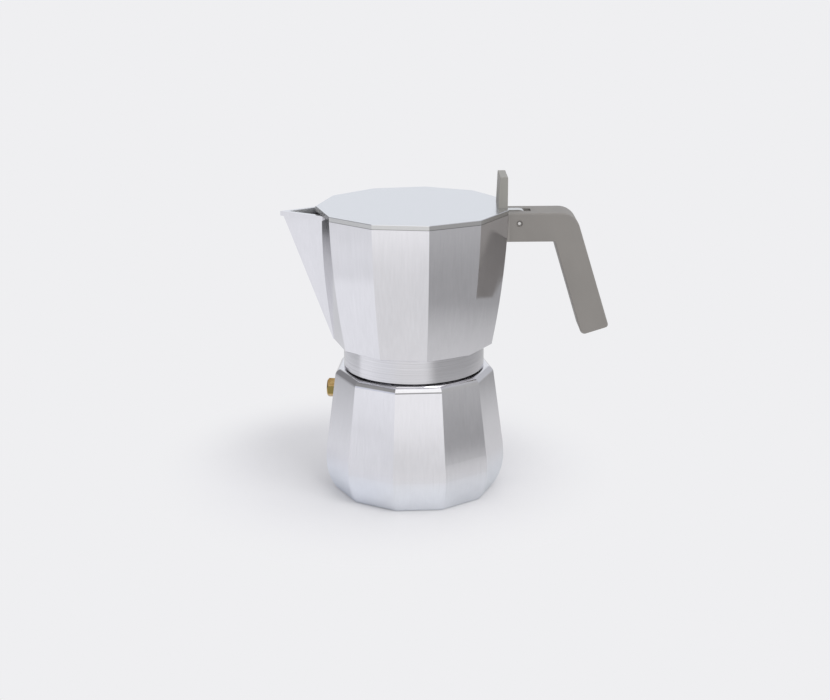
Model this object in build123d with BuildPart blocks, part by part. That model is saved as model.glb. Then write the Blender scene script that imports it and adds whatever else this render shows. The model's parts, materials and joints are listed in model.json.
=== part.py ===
"""Stovetop moka pot, eleven-sided, six-cup size, as separate pieces.

Frame: millimetres, origin on the boiler's axis at its base, +Z up,
+X towards the handle, the spout along -X.
"""

import os
from math import asin, cos, degrees, radians, sin, tan

from build123d import *

os.makedirs("parts", exist_ok=True)

# ---------------------------------------------------------------- driving sizes
SIDES = 11
SIDE_STEP = 360 / SIDES

# boiler; apothem = distance from the axis to the middle of a facet
BOILER_TURN = -22.2             # a facet's direction, as the pot is screwed together
BOILER_TOP = 76.5
BELLY_Z = 19.5
BELLY_APOTHEM = 52.7
FOOT_APOTHEM = 46.8
BELLY_ARC = 80.0                # radius of the facet just above the belly
SIDE_LEAN = 7.4                 # degrees, the straight part of the facet
SHOULDER_FILLET = 4.0
INNER_FILLET = 3.0
FOOT_CHAMFER = 0.5
BOILER_WALL = 4.0
BOILER_FLOOR = 4.5

# screwed joint between the two vessels
PITCH = 4.0
NECK_RADIUS = 37.0
NECK_BORE = 33.6
NECK_TOP = 88.6
NECK_ROOT = 1.0                 # how far the neck is rooted in the boiler
COLLAR_RADIUS = 42.35
COLLAR_BOTTOM = 77.4
COLLAR_BORE = 38.6
COLLAR_EDGE_BREAK = 0.2
THREAD_DEPTH = 1.2
THREAD_ROOT_WIDTH = 1.7
THREAD_CREST_WIDTH = 0.9
THREAD_ROOT = 0.2               # how far a ridge is rooted in its wall
NECK_THREAD = (80.6, 6.8)       # start height, length
COLLAR_THREAD = (78.6, 8.0)

# seal and filters
FLANGE_THICK = 0.8
FLANGE_RADIUS = 36.2
GASKET_RADIUS = 36.5
GASKET_BORE = 28.0
GASKET_BOTTOM = 89.45
GASKET_TOP = 92.65
PLATE_RADIUS = 32.0
PLATE_THICK = 0.8
HOLE_RADIUS = 0.8
HOLE_RING_STEP = 5.4
FILTER_RINGS = 4
STRAINER_RINGS = 5

# funnel
BASKET_RADIUS = 31.5
BASKET_WALL = 0.8
BASKET_BOTTOM = 63.0
CONE_BOTTOM = 56.0
BASKET_LEDGE = 1.8              # flat ring under the strainer
SOCKET_LENGTH = 5.0
STEM_RADIUS = 5.0
STEM_WALL = 0.8
STEM_BOTTOM = 9.0
STEM_SLANT = 5.0                # rise of the slanted mouth's cutter

# collector
COLLECTOR_BOTTOM = 92.8
COLLECTOR_FOOT_APOTHEM = 46.25
COLLECTOR_EDGE_BREAK = 0.35
COLLECTOR_MID = (52.0, 130.0)
RIM_Z = 172.0
RIM_APOTHEM = 55.25
COLLECTOR_WALL = 2.6
COLLECTOR_FLOOR = 97.5
COLUMN_TOP = 150.0
COLUMN_FOOT_RADIUS = 10.0
COLUMN_TOP_RADIUS = 6.0
COLUMN_BORE = 3.5
COLUMN_FOOT_HEIGHT = 2.0
OUTLET_WIDTH = 4.0
OUTLET_HEIGHT = 6.0
CHAMBER_RADIUS = 27.0
CHAMBER_ROOF = 2.2              # metal over the chamber, beside the column
CAP_RADIUS = 8.2
CAP_HEIGHT = 4.8
CAP_DOME_RADIUS = 12.0
CAP_PLUG = 2.5

# spout
SPOUT_HALF_ANGLE = 32.0
SPOUT_TIP_AT_RIM = 77.46
SPOUT_SLOPE = 0.365             # how far the tip edge moves in per mm down
SPOUT_WALL = 2.2
LIP_HEIGHT = 2.65
LIP_TIP = 78.3
SPOUT_FLOOR = 101.0
SPOUT_ROOT = -34.0              # where the wedge ends inside the collector

# lid
LID_BOTTOM = 172.2
LID_THICK = 2.6
LID_APOTHEM = 55.25
LID_EDGE_BREAK = 0.25
REGISTER_RADIUS = 50.2
REGISTER_WALL = 1.6
REGISTER_DEPTH = 1.6
PIN_X = 62.1
PIN_Z = 165.6
PIN_RADIUS = 1.2
PIN_LENGTH = 21.4
LUG_RADIUS = 6.5
LUG_HALF_WIDTH = 3.1
LUG_TOP = PIN_Z + LUG_RADIUS
LUG_CROWN_TURN = 48.0           # degrees of the lug's rounded end
LUG_HEIGHT = 3.4
LUG_INNER_END = 46.0
LUG_ROOT = 0.5                  # how far the lug is rooted in the lid
HUB_RADIUS = 4.4
NOTCH_DEPTH = 4.2

# thumb lever
LEVER_INNER_FOOT = 49.7         # the face towards the lid leans back
LEVER_INNER_TOP = 50.5
LEVER_OUTER = 55.1
LEVER_HALF_WIDTH = 11.4
LEVER_TOP = 193.2
LEVER_EDGE = 0.5
LEVER_SCREW_X = 52.5
LEVER_SCREW_SPACING = 13.0
LEVER_SCREW_RADIUS = 1.0
LEVER_SCREW_HEAD = 1.85
LEVER_SCREW_HEAD_HEIGHT = 0.9
LEVER_SCREW_LENGTH = 11.0

# handle
HANDLE_HALF_WIDTH = 11.2
HANDLE_TOP = 171.6
ARM_BOTTOM = 154.6
HANDLE_EDGE = 0.8
HANDLE_END = RIM_APOTHEM + 0.25
HANDLE_END_LEAN = 0.062         # how far the end leans in per mm down, to follow the facet
GRIP_OUTER_FOOT = (116.45, 102.25)
GRIP_INNER_FOOT = (100.25, 97.15)
GRIP_OUTER_LEAN = 17.2          # degrees from upright
GRIP_INNER_LEAN = 16.8
SHOULDER_RADIUS = 11.5
GRIP_OUTER_RADIUS = 2.0
GRIP_INNER_RADIUS = 2.8
ELBOW_RADIUS = 1.5
TONGUE_ROOT = 52.6              # inside the collector's wall
TONGUE_BLOCK_END = 70.5
SLOT_HALF_WIDTH = 3.4
SLOT_END = 69.3
SLOT_BOTTOM = 160.7
TONGUE_TOP = 160.3
POCKET_HALF_WIDTH = 5.2
POCKET_BOTTOM = 157.0
POCKET_TOP = 166.9
POCKET_END = 80.4
PIN_RECESS_RADIUS = 1.95
PIN_RECESS_DEPTH = 0.8
HANDLE_SCREW_X = 75.5
HANDLE_SCREW_RADIUS = 2.0
HANDLE_SCREW_HEAD = 3.6
HANDLE_SCREW_HEAD_HEIGHT = 1.3
HANDLE_SCREW_RECESS = 0.3       # how far the head is sunk
HANDLE_SCREW_LENGTH = 9.5
HANDLE_SCREW_SOCKET = 1.3

# safety valve, on one facet of the boiler
VALVE_ANGLE = BOILER_TURN + 6 * SIDE_STEP
VALVE_Z = 60.4
VALVE_SEAT = 47.4               # distance of the spot face from the axis
SPOT_FACE_RADIUS = 6.8
VALVE_HEX = 10.4                # across flats
WASHER_THICK = 0.8
WASHER_RADIUS = 5.9
HEX_THICK = 5.0
HEX_CROWN = (1.4, 4.7, 6.3)     # length, end radius, full radius of the turned end
VALVE_STEM_RADIUS = 4.0
VALVE_INNER_END = 39.6
VALVE_BORE = 2.6
VALVE_END_WALL = 3.0
RETAINER_THICK = 2.0
PLUNGER_HEAD = 1.8
PLUNGER_STEM_RADIUS = 1.2
PLUNGER_PROUD = 0.3             # how far its tip stands out of the hexagon
SPRING_WIRE = 0.6
SPRING_TURNS = 5
SPRING_RADIUS = 1.85

PRESS_FIT = 0.02                # radial gap of parts pressed or screwed tight
RUN_FIT = 0.05                  # radial clearance of a turning or sliding pin
SIT_FIT = 0.15                  # clearance of parts that only sit in each other
EDGE_BREAK = 0.3                # small chamfer on a turned edge
CUT = 10.0                      # how far a cutter passes beyond the metal
FAR = 90.0                      # beyond every part of the pot


# ---------------------------------------------------------------- shared helpers
def side_plane(angle):
    """Vertical plane through the axis: x outwards along the angle, y up."""
    out = Vector(cos(radians(angle)), sin(radians(angle)), 0)
    return Plane(origin=(0, 0, 0), x_dir=out, z_dir=out.cross(Vector(0, 0, 1)))


def radial_plane(angle, distance, height):
    """Plane that faces outwards at an angle, at a distance from the axis."""
    out = Vector(cos(radians(angle)), sin(radians(angle)), 0)
    return Plane(origin=out * distance + Vector(0, 0, height), x_dir=(0, 0, 1), z_dir=out)


def facet_prism(section, turn):
    """Solid whose every level is a regular polygon; the section gives its apothem."""
    with BuildPart() as prism:
        for side in range(SIDES):
            with BuildSketch(side_plane(turn + side * SIDE_STEP)):
                add(section)
            extrude(amount=FAR, both=True, mode=Mode.INTERSECT if side else Mode.ADD)
    return prism.part


def boiler_section(inset, floor, top, fillet_radius):
    """Half section of the boiler's facets, pulled in by a wall thickness."""
    belly = BELLY_APOTHEM - inset
    foot_drop = BELLY_APOTHEM - FOOT_APOTHEM
    foot_radius = (BELLY_Z**2 + foot_drop**2) / (2 * foot_drop) - inset
    with BuildSketch() as section:
        with BuildLine():
            foot_turn = degrees(asin((BELLY_Z - floor) / foot_radius))
            lower = JernArc((belly, BELLY_Z), (0, -1), foot_radius, -foot_turn)
            upper = JernArc((belly, BELLY_Z), (0, 1), BELLY_ARC - inset, SIDE_LEAN)
            run = (top - (upper @ 1).Y) / cos(radians(SIDE_LEAN))
            side = Line(upper @ 1, upper @ 1 + run * (upper % 1))
            Polyline(side @ 1, (-FAR, top), (-FAR, floor), lower @ 1)
        make_face()
        fillet(section.vertices().sort_by_distance(side @ 1)[0], fillet_radius)
    return section.sketch


def collector_section(inset, floor, top):
    """Half section of the collector's facets, pulled in by a wall thickness."""
    mid_x, mid_z = COLLECTOR_MID
    with BuildSketch() as section:
        with BuildLine():
            facet = ThreePointArc(
                (COLLECTOR_FOOT_APOTHEM - inset, COLLECTOR_BOTTOM),
                (mid_x - inset, mid_z),
                (RIM_APOTHEM - inset, RIM_Z),
            )
            Polyline(facet @ 1, (-FAR, RIM_Z), (-FAR, COLLECTOR_BOTTOM), facet @ 0)
        make_face()
        with Locations((0, (floor + top) / 2)):
            Rectangle(2 * FAR, top - floor, mode=Mode.INTERSECT)
    return section.sketch


def thread_ridge(radius, outwards, start, length):
    """Helical ridge with a trapezoid section, rooted just inside its wall."""
    depth = THREAD_DEPTH if outwards else -THREAD_DEPTH
    root = -THREAD_ROOT if outwards else THREAD_ROOT
    with BuildPart() as ridge:
        with BuildLine() as turns:
            Helix(pitch=PITCH, height=length, radius=radius, center=(0, 0, start))
        with BuildSketch(Plane(origin=(radius, 0, start), x_dir=(1, 0, 0), z_dir=(0, -1, 0))):
            Polygon(
                (root, -THREAD_ROOT_WIDTH / 2),
                (depth, -THREAD_CREST_WIDTH / 2),
                (depth, THREAD_CREST_WIDTH / 2),
                (root, THREAD_ROOT_WIDTH / 2),
                align=None,
            )
        sweep(path=turns.line, is_frenet=True)
    return ridge.part


def hole_rings(bottom, rings):
    """Small drills standing in rings, to be taken out of a disc."""
    with BuildPart() as drills:
        for ring in range(1, rings + 1):
            with BuildSketch(Plane.XY.offset(bottom - PLATE_THICK)):
                with PolarLocations(ring * HOLE_RING_STEP, 6 * ring):
                    Circle(HOLE_RADIUS)
        extrude(amount=3 * PLATE_THICK)
    return drills.part


def spout_wedge(tip, top, depth, slanted):
    """V-shaped wedge, pointing along -X, that runs down from the level top."""
    half = (tip + SPOUT_ROOT) * tan(radians(SPOUT_HALF_ANGLE))
    with BuildPart() as wedge:
        with BuildSketch(Plane.XY.offset(top)):
            Polygon((-tip, 0), (SPOUT_ROOT, -half), (SPOUT_ROOT, half), align=None)
        if slanted:
            extrude(amount=depth * Vector(SPOUT_SLOPE, 0, -1).length, dir=(SPOUT_SLOPE, 0, -1))
        else:
            extrude(amount=-depth)
    return wedge.part


def save(part, name):
    part.label = name
    export_step(part, f"parts/{name}.step")


# ---------------------------------------------------------------- boiler
boiler_outside = facet_prism(boiler_section(0, 0, BOILER_TOP, SHOULDER_FILLET), BOILER_TURN)
boiler_inside = facet_prism(
    boiler_section(BOILER_WALL, BOILER_FLOOR, BOILER_TOP - BOILER_WALL, INNER_FILLET), BOILER_TURN
)
neck_thread = thread_ridge(NECK_RADIUS, True, *NECK_THREAD)

with BuildPart() as boiler:
    add(boiler_outside)
    chamfer(boiler.faces().sort_by(Axis.Z)[0].edges(), FOOT_CHAMFER)
    with BuildSketch(Plane.XY.offset(BOILER_TOP - NECK_ROOT)):
        Circle(NECK_RADIUS)
    extrude(amount=NECK_TOP - BOILER_TOP + NECK_ROOT)
    chamfer(boiler.faces().sort_by(Axis.Z)[-1].edges(), EDGE_BREAK)
    add(neck_thread)
    add(boiler_inside, mode=Mode.SUBTRACT)
    with BuildSketch(Plane.XY.offset(BOILER_TOP - BOILER_WALL - NECK_ROOT)):
        Circle(NECK_BORE)
    extrude(amount=FAR, mode=Mode.SUBTRACT)
    # spot face and hole of the safety valve
    with BuildSketch(radial_plane(VALVE_ANGLE, VALVE_SEAT, VALVE_Z)):
        Circle(SPOT_FACE_RADIUS)
    extrude(amount=CUT, mode=Mode.SUBTRACT)
    with BuildSketch(radial_plane(VALVE_ANGLE, VALVE_INNER_END, VALVE_Z)):
        Circle(VALVE_STEM_RADIUS + RUN_FIT)
    extrude(amount=CUT, mode=Mode.SUBTRACT)
save(boiler.part, "boiler")

# ---------------------------------------------------------------- safety valve
hex_base = VALVE_SEAT + WASHER_THICK
hex_end = hex_base + HEX_THICK
spring_out = hex_end - VALVE_END_WALL
plunger_seat = VALVE_INNER_END + RETAINER_THICK + SIT_FIT
spring_in = plunger_seat + PLUNGER_HEAD

with BuildPart() as valve_washer:
    with BuildSketch(radial_plane(VALVE_ANGLE, VALVE_SEAT, VALVE_Z)):
        Circle(WASHER_RADIUS)
        Circle(VALVE_STEM_RADIUS + SIT_FIT, mode=Mode.SUBTRACT)
    extrude(amount=WASHER_THICK)
save(valve_washer.part, "safety_valve_washer")

with BuildPart() as valve_body:
    with BuildSketch(radial_plane(VALVE_ANGLE, hex_base, VALVE_Z)):
        RegularPolygon(VALVE_HEX / 2, 6, major_radius=False)
    extrude(amount=HEX_THICK)
    # the hexagon's corners are turned off at its outer end
    crown_length, crown_end, crown_full = HEX_CROWN
    with BuildSketch(side_plane(VALVE_ANGLE)):
        with Locations((hex_end, VALVE_Z)):
            Polygon(
                (-CUT, 0),
                (0, 0),
                (0, crown_end),
                (-crown_length, crown_full),
                (-CUT, crown_full),
                align=None,
            )
    valve_axis = Axis((0, 0, VALVE_Z), radial_plane(VALVE_ANGLE, 0, VALVE_Z).z_dir)
    revolve(axis=valve_axis, mode=Mode.INTERSECT)
    with BuildSketch(radial_plane(VALVE_ANGLE, VALVE_INNER_END, VALVE_Z)):
        Circle(VALVE_STEM_RADIUS)
    extrude(amount=hex_base - VALVE_INNER_END)
    with BuildSketch(radial_plane(VALVE_ANGLE, VALVE_INNER_END, VALVE_Z)):
        Circle(VALVE_BORE)
    extrude(amount=spring_out - VALVE_INNER_END, mode=Mode.SUBTRACT)
    with BuildSketch(radial_plane(VALVE_ANGLE, spring_out, VALVE_Z)):
        Circle(PLUNGER_STEM_RADIUS)
    extrude(amount=HEX_THICK, mode=Mode.SUBTRACT)
save(valve_body.part, "safety_valve_body")

with BuildPart() as valve_retainer:
    with BuildSketch(radial_plane(VALVE_ANGLE, VALVE_INNER_END, VALVE_Z)):
        Circle(VALVE_BORE - PRESS_FIT)
        Circle(PLUNGER_STEM_RADIUS, mode=Mode.SUBTRACT)
    extrude(amount=RETAINER_THICK)
save(valve_retainer.part, "safety_valve_retainer")

with BuildPart() as valve_plunger:
    with BuildSketch(radial_plane(VALVE_ANGLE, plunger_seat, VALVE_Z)):
        Circle(VALVE_BORE - RUN_FIT)
    extrude(amount=PLUNGER_HEAD)
    with BuildSketch(radial_plane(VALVE_ANGLE, spring_in, VALVE_Z)):
        Circle(PLUNGER_STEM_RADIUS - RUN_FIT)
    extrude(amount=hex_end + PLUNGER_PROUD - spring_in)
    chamfer(valve_plunger.faces().sort_by(valve_axis)[-1].edges(), EDGE_BREAK)
save(valve_plunger.part, "safety_valve_plunger")

spring_length = spring_out - spring_in - SPRING_WIRE - 2 * RUN_FIT
spring_start = radial_plane(VALVE_ANGLE, spring_in + SPRING_WIRE / 2 + RUN_FIT, VALVE_Z)
with BuildPart() as valve_spring:
    with BuildLine() as coil:
        Helix(
            pitch=spring_length / SPRING_TURNS,
            height=spring_length,
            radius=SPRING_RADIUS,
            center=spring_start.origin,
            direction=spring_start.z_dir,
        )
    with BuildSketch(Plane(origin=coil.line @ 0, z_dir=coil.line % 0)):
        Circle(SPRING_WIRE / 2)
    sweep(path=coil.line, is_frenet=True)
save(valve_spring.part, "safety_valve_spring")

# ---------------------------------------------------------------- funnel
with BuildPart() as funnel_basket:
    with BuildSketch(Plane.XZ):
        with BuildLine():
            flange_top = NECK_TOP + FLANGE_THICK
            cone_top = BASKET_BOTTOM + BASKET_WALL
            socket = STEM_RADIUS + PRESS_FIT
            Polyline(
                (BASKET_RADIUS, flange_top),
                (FLANGE_RADIUS, flange_top),
                (FLANGE_RADIUS, NECK_TOP),
                (BASKET_RADIUS + BASKET_WALL, NECK_TOP),
                (BASKET_RADIUS + BASKET_WALL, BASKET_BOTTOM),
                (socket + BASKET_WALL, CONE_BOTTOM),
                (socket + BASKET_WALL, CONE_BOTTOM - SOCKET_LENGTH),
                (socket, CONE_BOTTOM - SOCKET_LENGTH),
                (socket, CONE_BOTTOM + BASKET_WALL),
                (BASKET_RADIUS - BASKET_LEDGE, cone_top),
                (BASKET_RADIUS, cone_top),
                (BASKET_RADIUS, flange_top),
            )
        make_face()
    revolve(axis=Axis.Z)
save(funnel_basket.part, "funnel_basket")

with BuildPart() as funnel_stem:
    with BuildSketch(Plane.XY.offset(STEM_BOTTOM)):
        Circle(STEM_RADIUS)
        Circle(STEM_RADIUS - STEM_WALL, mode=Mode.SUBTRACT)
    extrude(amount=CONE_BOTTOM - STEM_BOTTOM)
    # slanted mouth, so that the tube can't seal itself against the floor
    with BuildSketch(Plane.XZ):
        Polygon(
            (-CUT, STEM_BOTTOM - STEM_WALL),
            (CUT, STEM_BOTTOM - STEM_WALL),
            (CUT, STEM_BOTTOM + STEM_SLANT),
            align=None,
        )
    extrude(amount=CUT, both=True, mode=Mode.SUBTRACT)
save(funnel_stem.part, "funnel_stem")

strainer_bottom = cone_top + RUN_FIT
with BuildPart() as funnel_strainer:
    with BuildSketch(Plane.XY.offset(strainer_bottom)):
        Circle(BASKET_RADIUS - SIT_FIT)
    extrude(amount=PLATE_THICK)
    add(hole_rings(strainer_bottom, STRAINER_RINGS), mode=Mode.SUBTRACT)
save(funnel_strainer.part, "funnel_strainer")

# ---------------------------------------------------------------- seal
plate_seat = GASKET_TOP - PLATE_THICK - 2 * RUN_FIT
with BuildPart() as gasket:
    with BuildSketch(Plane.XY.offset(GASKET_BOTTOM)):
        Circle(GASKET_RADIUS)
        Circle(GASKET_BORE, mode=Mode.SUBTRACT)
    extrude(amount=GASKET_TOP - GASKET_BOTTOM)
    with BuildSketch(Plane.XY.offset(plate_seat)):
        Circle(PLATE_RADIUS + SIT_FIT)
    extrude(amount=CUT, mode=Mode.SUBTRACT)
    chamfer(gasket.faces().sort_by(Axis.Z)[0].edges(), EDGE_BREAK)
save(gasket.part, "gasket")

with BuildPart() as filter_plate:
    with BuildSketch(Plane.XY.offset(plate_seat + RUN_FIT)):
        Circle(PLATE_RADIUS)
    extrude(amount=PLATE_THICK)
    add(hole_rings(plate_seat, FILTER_RINGS), mode=Mode.SUBTRACT)
save(filter_plate.part, "filter_plate")

# ---------------------------------------------------------------- collector
collector_outside = facet_prism(collector_section(0, COLLECTOR_BOTTOM, RIM_Z), 0)
collector_inside = facet_prism(collector_section(COLLECTOR_WALL, COLLECTOR_FLOOR, RIM_Z), 0)
inner_offset = SPOUT_WALL / sin(radians(SPOUT_HALF_ANGLE))
spout_outside = spout_wedge(SPOUT_TIP_AT_RIM, RIM_Z, RIM_Z - COLLECTOR_BOTTOM, True)
spout_inside = spout_wedge(SPOUT_TIP_AT_RIM - inner_offset, RIM_Z, RIM_Z - SPOUT_FLOOR, True)
spout_lip = spout_wedge(LIP_TIP, RIM_Z, LIP_HEIGHT, False)
collar_thread = thread_ridge(COLLAR_BORE, False, *COLLAR_THREAD)
seat_radius = GASKET_RADIUS + 2 * SIT_FIT
column_root = COLLECTOR_FLOOR - NECK_ROOT

with BuildPart() as collector:
    add(collector_outside)
    add(spout_outside)
    chamfer(collector.edges().group_by(Axis.Z)[0], COLLECTOR_EDGE_BREAK)
    add(spout_lip)
    with BuildSketch(Plane.XY.offset(COLLAR_BOTTOM)):
        Circle(COLLAR_RADIUS)
    extrude(amount=COLLECTOR_BOTTOM - COLLAR_BOTTOM + NECK_ROOT)
    chamfer(collector.faces().sort_by(Axis.Z)[0].edges(), COLLAR_EDGE_BREAK)
    add(collector_inside, mode=Mode.SUBTRACT)
    add(spout_inside, mode=Mode.SUBTRACT)
    # outlet column
    with BuildSketch(Plane.XZ):
        with BuildLine():
            Polyline(
                (0, column_root),
                (COLUMN_FOOT_RADIUS, column_root),
                (COLUMN_FOOT_RADIUS, COLLECTOR_FLOOR + COLUMN_FOOT_HEIGHT),
                (COLUMN_TOP_RADIUS, COLUMN_TOP),
                (0, COLUMN_TOP),
                (0, column_root),
            )
        make_face()
    revolve(axis=Axis.Z)
    # chamber above the filter plate, gasket seat, collar bore
    with BuildSketch(Plane.XZ):
        with BuildLine():
            Polyline(
                (0, COLLAR_BOTTOM - CUT),
                (COLLAR_BORE, COLLAR_BOTTOM - CUT),
                (COLLAR_BORE, NECK_TOP + EDGE_BREAK),
                (seat_radius, NECK_TOP + 2 * EDGE_BREAK),
                (seat_radius, GASKET_TOP + RUN_FIT),
                (CHAMBER_RADIUS, GASKET_TOP + RUN_FIT),
                (COLUMN_BORE, COLLECTOR_FLOOR - CHAMBER_ROOF),
                (COLUMN_BORE, COLUMN_TOP + CUT),
                (0, COLUMN_TOP + CUT),
                (0, COLLAR_BOTTOM - CUT),
            )
        make_face()
    revolve(axis=Axis.Z, mode=Mode.SUBTRACT)
    add(collar_thread)
    # two outlets at the head of the column
    with BuildSketch(Plane.XZ):
        with Locations((0, COLUMN_TOP - OUTLET_HEIGHT / 2)):
            Rectangle(OUTLET_WIDTH, OUTLET_HEIGHT)
    extrude(amount=CUT, both=True, mode=Mode.SUBTRACT)
    # notch in the rim for the lid's lug
    with BuildSketch(Plane.XY.offset(RIM_Z)):
        with Locations((RIM_APOTHEM, 0)):
            Rectangle(CUT, 2 * SLOT_HALF_WIDTH)
    extrude(amount=-NOTCH_DEPTH, mode=Mode.SUBTRACT)
    # tongue that carries the handle
    with BuildSketch(Plane.XZ):
        with BuildLine():
            Polyline(
                (TONGUE_ROOT, POCKET_BOTTOM + SIT_FIT),
                (POCKET_END - SIT_FIT, POCKET_BOTTOM + SIT_FIT),
                (POCKET_END - SIT_FIT, POCKET_TOP - SIT_FIT),
                (TONGUE_BLOCK_END, POCKET_TOP - SIT_FIT),
                (TONGUE_BLOCK_END, TONGUE_TOP),
                (TONGUE_ROOT, TONGUE_TOP),
                (TONGUE_ROOT, POCKET_BOTTOM + SIT_FIT),
            )
        make_face()
    extrude(amount=POCKET_HALF_WIDTH - SIT_FIT, both=True)
    with BuildSketch(Plane.XY.offset(POCKET_BOTTOM)):
        with Locations((HANDLE_SCREW_X, 0)):
            Circle(HANDLE_SCREW_RADIUS + PRESS_FIT)
    extrude(amount=HANDLE_SCREW_LENGTH - SIT_FIT, mode=Mode.SUBTRACT)
save(collector.part, "collector")

with BuildPart() as column_cap:
    with BuildSketch(Plane.XZ):
        with BuildLine():
            dome_turn = degrees(asin(CAP_RADIUS / CAP_DOME_RADIUS))
            dome = JernArc((0, COLUMN_TOP + CAP_HEIGHT), (1, 0), CAP_DOME_RADIUS, -dome_turn)
            Polyline(dome @ 1, (CAP_RADIUS, COLUMN_TOP + RUN_FIT), (0, COLUMN_TOP + RUN_FIT), dome @ 0)
        make_face()
    revolve(axis=Axis.Z)
    with BuildSketch(Plane.XY.offset(COLUMN_TOP + 2 * RUN_FIT)):
        Circle(COLUMN_BORE - PRESS_FIT)
    extrude(amount=-CAP_PLUG)
save(column_cap.part, "column_cap")

# ---------------------------------------------------------------- lid
with BuildPart() as lid:
    with BuildSketch(Plane.XY.offset(LID_BOTTOM)):
        RegularPolygon(LID_APOTHEM, SIDES, major_radius=False, rotation=180 / SIDES)
    extrude(amount=LID_THICK)
    chamfer(lid.faces().sort_by(Axis.Z)[-1].edges(), LID_EDGE_BREAK)
    with BuildSketch(Plane.XY.offset(LID_BOTTOM)):
        Circle(REGISTER_RADIUS)
        Circle(REGISTER_RADIUS - REGISTER_WALL, mode=Mode.SUBTRACT)
    extrude(amount=-REGISTER_DEPTH)
    # hinge lug: flat top under the lid, rounded over the pin
    with BuildSketch(Plane.XZ):
        with BuildLine():
            crown = JernArc((PIN_X, LUG_TOP), (1, 0), LUG_RADIUS, -LUG_CROWN_TURN)
            Polyline(
                crown @ 1,
                (PIN_X + HUB_RADIUS, PIN_Z),
                (PIN_X, PIN_Z - PIN_RADIUS),
                (PIN_X - HUB_RADIUS, LUG_TOP - LUG_HEIGHT),
                (LUG_INNER_END, LUG_TOP - LUG_HEIGHT),
                (LUG_INNER_END, LID_BOTTOM + LUG_ROOT),
                (LID_APOTHEM - LUG_ROOT, LID_BOTTOM + LUG_ROOT),
                (LID_APOTHEM - LUG_ROOT, LUG_TOP),
                (PIN_X, LUG_TOP),
            )
        make_face()
        with Locations((PIN_X, PIN_Z)):
            Circle(HUB_RADIUS)
    extrude(amount=LUG_HALF_WIDTH, both=True)
    with BuildSketch(Plane.XZ):
        with Locations((PIN_X, PIN_Z)):
            Circle(PIN_RADIUS + RUN_FIT)
    extrude(amount=2 * LUG_HALF_WIDTH, both=True, mode=Mode.SUBTRACT)
    with Locations(Plane.XY.offset(LID_BOTTOM).rotated((180, 0, 0))):
        with Locations((LEVER_SCREW_X, 0)):
            with GridLocations(0, LEVER_SCREW_SPACING, 1, 2):
                CounterSinkHole(
                    radius=LEVER_SCREW_RADIUS + SIT_FIT,
                    counter_sink_radius=LEVER_SCREW_HEAD + SIT_FIT,
                    depth=LID_THICK,
                )
save(lid.part, "lid")

lever_foot = LID_BOTTOM + LID_THICK + PRESS_FIT
with BuildPart() as thumb_lever:
    with BuildSketch(Plane.XZ):
        Polygon(
            (LEVER_INNER_FOOT, lever_foot),
            (LEVER_OUTER, lever_foot),
            (LEVER_OUTER, LEVER_TOP),
            (LEVER_INNER_TOP, LEVER_TOP),
            align=None,
        )
    extrude(amount=LEVER_HALF_WIDTH, both=True)
    fillet(thumb_lever.edges().group_by(Axis.Z)[-1], LEVER_EDGE)
    with BuildSketch(Plane.XY.offset(lever_foot)):
        with Locations((LEVER_SCREW_X, 0)):
            with GridLocations(0, LEVER_SCREW_SPACING, 1, 2):
                Circle(LEVER_SCREW_RADIUS + PRESS_FIT)
    extrude(amount=LEVER_SCREW_LENGTH - LID_THICK + EDGE_BREAK, mode=Mode.SUBTRACT)
save(thumb_lever.part, "thumb_lever")

screw_foot = LID_BOTTOM + RUN_FIT
with BuildPart() as lever_screw:
    with BuildSketch(Plane.XZ):
        with BuildLine():
            Polyline(
                (0, screw_foot),
                (LEVER_SCREW_HEAD, screw_foot),
                (LEVER_SCREW_RADIUS, screw_foot + LEVER_SCREW_HEAD_HEIGHT),
                (LEVER_SCREW_RADIUS, LID_BOTTOM + LEVER_SCREW_LENGTH),
                (0, LID_BOTTOM + LEVER_SCREW_LENGTH),
                (0, screw_foot),
            )
        make_face()
    revolve(axis=Axis.Z)

with BuildPart() as lever_screws:
    with Locations((LEVER_SCREW_X, 0)):
        with GridLocations(0, LEVER_SCREW_SPACING, 1, 2):
            add(lever_screw.part)
save(lever_screws.part, "lever_screws")

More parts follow.
